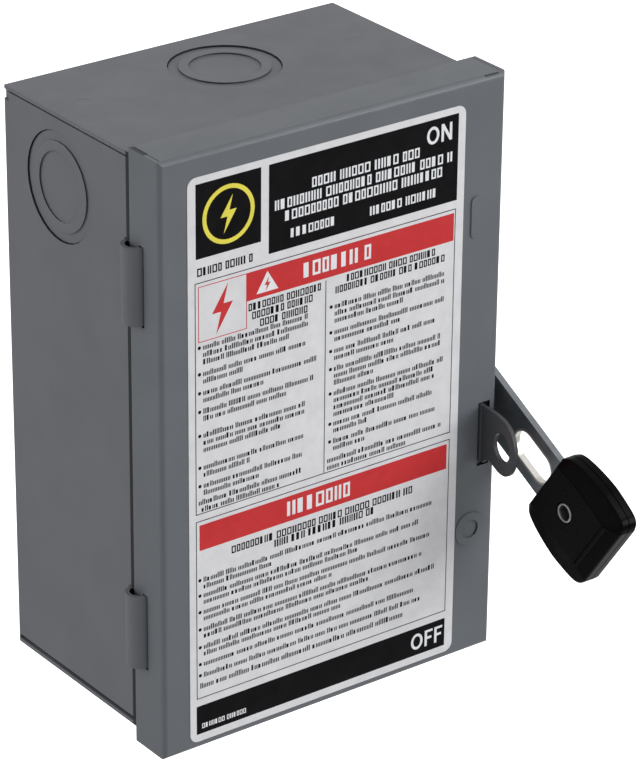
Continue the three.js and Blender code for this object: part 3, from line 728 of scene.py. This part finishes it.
def label():
    """The sheet and its print: panels, bars, signs, position marks and rows of meaningless marks."""
    rng = random.Random(7)
    outline = rounded(LABEL_LOW.x / MM, LABEL_HIGH.x / MM, LABEL_LOW.z / MM, LABEL_HIGH.z / MM, 3.0)
    sheet = loft([[Vector((x, y, z)) * MM for x, z in outline] for y in (SHEET_BACK, SHEET_FRONT)])
    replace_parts(mesh_piece("label_sheet", sheet, WHITE_FILM, "door"), "door_label")

    black, red = Print(1), Print(1)
    white, yellow = Print(2), Print(2)
    sign = Print(3)
    black.rect(-49.06, -25.76, 64.15, 87.65)
    black.rect(-22.94, 47.49, 59.4, 87.65)
    black.rect(-49.58, 47.11, -95.11, -85.25)
    black.frame(-49.5, 47.24, -19.17, 56.66, 0.26)
    black.frame(-49.5, 47.24, -82.66, -21.39, 0.26)
    black.rect(-1.93, -1.67, -19.0, 45.4)
    red.rect(-30.8, 46.6, 46.2, 55.3)
    red.rect(-48.2, 46.1, -31.5, -22.9)
    red.frame(-48.3, -30.8, 37.4, 55.3, 0.25)

    yellow.band(*[circle(*SIGN_CENTRE, radius, radius, 40) for radius in (9.3, 7.9)])
    bolt(yellow, *SIGN_CENTRE, 9.6)
    bolt(red, -39.6, 46.4, 12.5)
    greek(black, -48.6, -27.6, 58.6, 2.6, rng, True)

    for letter, x in (("O", 35.4), ("N", 40.9)):
        position_mark(white, letter, x, 79.8)
    for letter, x in (("O", 33.6), ("F", 39.1), ("F", 43.0)):
        position_mark(white, letter, x, -93.1)
    for left, right, base in ((-7.3, 33.9, 76.8), (-20.8, 46.4, 72.6), (-17.1, 43.3, 68.5)):
        greek(white, left, right, base, 3.2, rng, True)
    greek(white, -15.0, 3.6, 62.7, 2.9, rng, True)
    greek(white, 14.3, 41.4, 62.4, 2.9, rng, True)
    greek(white, -10.2, 15.6, 48.4, 4.8, rng, True)
    greek(white, -15.7, 10.6, -29.6, 4.9, rng, True)
    white.slab([(-27.4, 47.6), (-19.4, 47.6), (-23.4, 54.2)])
    bolt(sign, -23.4, 50.1, 3.6)

    for middle, (left, right) in zip((44.0, 41.1, 38.1), ((-30.2, -3.2), (-28.9, -4.2), (-26.0, -7.8))):
        greek(black, left, right, middle - 1.2, 2.35, rng, True)
    for middle, (left, right) in zip((44.3, 41.4), ((6.0, 39.6), (1.8, 44.6))):
        greek(black, left, right, middle - 1.2, 2.3, rng, True)
    left_column = ((35.7, 3), (27.1, 2), (20.9, 2), (14.8, 2), (6.9, 3), (-3.7, 2), (-9.8, 2))
    right_column = ((36.2, 3), (27.7, 2), (21.5, 2), (15.5, 3), (7.3, 4), (-2.9, 2), (-8.9, 2))
    lower_panel = ((-41.6, 2), (-46.9, 2), (-52.6, 2), (-58.6, 2), (-64.8, 2), (-70.7, 1), (-74.6, 1))
    paragraphs(black, -46.6, -4.0, left_column, rng, 2.4)
    paragraphs(black, 1.6, 45.4, right_column, rng, 2.35)
    closing_lines = ((-48.4, -9.0, -15.2), (-47.4, -18.0, -17.6), (-0.6, 43.8, -15.0),
                     (-0.6, 30.0, -17.4))
    for left, right, middle in closing_lines:
        greek(black, left, right, middle - 0.9, SMALL_PRINT, rng)
    greek(black, -36.4, 34.2, -36.0, 2.5, rng, True)
    greek(black, -20.4, 18.5, -38.8, 2.5, rng, True)
    paragraphs(black, -46.8, 44.4, lower_panel, rng, 2.3)
    greek(black, -48.2, 30.0, -79.2, 1.9, rng)
    greek(white, -47.6, -30.0, -93.4, 1.7, rng, True)

    black.finish("label_black_print", BLACK_INK)
    red.finish("label_red_print", RED_INK)
    white.finish("label_white_print", WHITE_INK)
    yellow.finish("label_yellow_mark", YELLOW_INK)
    sign.finish("label_red_sign", RED_INK)


label()


# ---------------------------------------------------------------- stage, light and camera
LIGHT_TARGET = Vector((0.01, -0.05, -0.01))
STUDIO_WHITE = (1.0, 1.0, 1.0, 1.0)
# Brightness of the surroundings at each sine of elevation: a dark band under the horizon, paler above.
SURROUNDINGS = [(-1, 0.86), (-0.75, 0.7), (-0.58, 0.3), (-0.3, 0.26), (-0.12, 0.6), (0.2, 0.62),
                (0.55, 0.56), (1, 0.58)]


def outward(azimuth, elevation):
    """Direction from the object to a viewer or a light at an azimuth and an elevation in degrees."""
    a, e = math.radians(azimuth), math.radians(elevation)
    return Vector((math.sin(a) * math.cos(e), -math.cos(a) * math.cos(e), math.sin(e)))


def area_light(name, azimuth, elevation, distance, size, power):
    """A square soft light that faces the object."""
    data = bpy.data.lights.new(name, "AREA")
    data.shape = "SQUARE"
    data.size = size
    data.energy = power
    obj = bpy.data.objects.new(name, data)
    back = outward(azimuth, elevation)
    obj.location = LIGHT_TARGET + back * distance
    obj.rotation_mode = "QUATERNION"
    obj.rotation_quaternion = (-back).to_track_quat("-Z", "Y")
    scene.collection.objects.link(obj)


def backdrop(name, bm, location):
    """A pale surface that the camera sees and that neither lights nor mirrors in the object."""
    surface = Surface(name, specular=0.0)
    surface.color(surface.blend(surface.noise(400, 3), (0.94, 0.94, 0.94, 1), (0.97, 0.97, 0.97, 1)))
    surface.roughness(0.9)
    surface.shader.inputs["Emission Color"].default_value = STUDIO_WHITE
    surface.shader.inputs["Emission Strength"].default_value = 1.0
    obj = mesh_object(name, bm)
    obj.data.materials.append(surface.material)
    obj.location = location
    obj.visible_diffuse = False
    obj.visible_glossy = False
    obj.visible_transmission = False
    obj.visible_shadow = False


def stage():
    """A pale floor well below the box, inside a large pale surround."""
    floor_mesh = bmesh.new()
    bmesh.ops.create_grid(floor_mesh, x_segments=8, y_segments=8, size=4)
    backdrop("pale_floor", floor_mesh, (0, 0, -0.9))
    wall_mesh = bmesh.new()
    bmesh.ops.create_uvsphere(wall_mesh, u_segments=48, v_segments=24, radius=4.5)
    bmesh.ops.reverse_faces(wall_mesh, faces=wall_mesh.faces)
    backdrop("pale_surround", wall_mesh, (0, 0, -0.5))


def studio_world():
    """Surroundings whose brightness depends on height only."""
    world = bpy.data.worlds.new("studio")
    world.use_nodes = True
    tree = world.node_tree
    coords = tree.nodes.new("ShaderNodeTexCoord")
    split = tree.nodes.new("ShaderNodeSeparateXYZ")
    ramp = tree.nodes.new("ShaderNodeValToRGB")
    lift = tree.nodes.new("ShaderNodeMapRange")
    lift.inputs["From Min"].default_value = -1
    tree.links.new(coords.outputs["Generated"], split.inputs["Vector"])
    tree.links.new(split.outputs["Z"], lift.inputs["Value"])
    tree.links.new(lift.outputs["Result"], ramp.inputs["Fac"])
    stops = ramp.color_ramp.elements
    while len(stops) < len(SURROUNDINGS):
        stops.new(0.5)
    for stop, (height, level) in zip(stops, SURROUNDINGS):
        stop.position = (height + 1) / 2
        stop.color = (level, level, level, 1)
    tree.links.new(ramp.outputs["Color"], tree.nodes["Background"].inputs["Color"])
    scene.world = world


stage()
studio_world()
area_light("key_light", 40, 16, 1.6, 0.8, 9.2)
area_light("side_light", -135, 13, 1.6, 0.8, 7.3)
area_light("high_light", 55, 48, 1.5, 0.5, 2.0)

CAMERA_AZIMUTH = -36.488
CAMERA_ELEVATION = 26.296
CAMERA_ROLL = 0.396
CAMERA_DISTANCE = 1.2243
CAMERA_TARGET = Vector((12.811, -47.4, -22.946)) * MM


def camera():
    """A long lens at the left front, above the box, with a slight roll and shift."""
    back = outward(CAMERA_AZIMUTH, CAMERA_ELEVATION)
    level = (-back).cross(Vector((0, 0, 1))).normalized()
    rise = level.cross(-back)
    roll = math.radians(CAMERA_ROLL)
    right = math.cos(roll) * level + math.sin(roll) * rise
    up = math.cos(roll) * rise - math.sin(roll) * level
    data = bpy.data.cameras.new("camera")
    data.sensor_width = 36
    data.lens = 183.76
    data.shift_x = 0.0355
    data.shift_y = 0.0640
    data.clip_start = 0.05
    obj = bpy.data.objects.new("camera", data)
    turn = Matrix((right, up, back)).transposed().to_4x4()
    obj.matrix_world = Matrix.Translation(CAMERA_TARGET + back * CAMERA_DISTANCE) @ turn
    scene.collection.objects.link(obj)
    scene.camera = obj


camera()
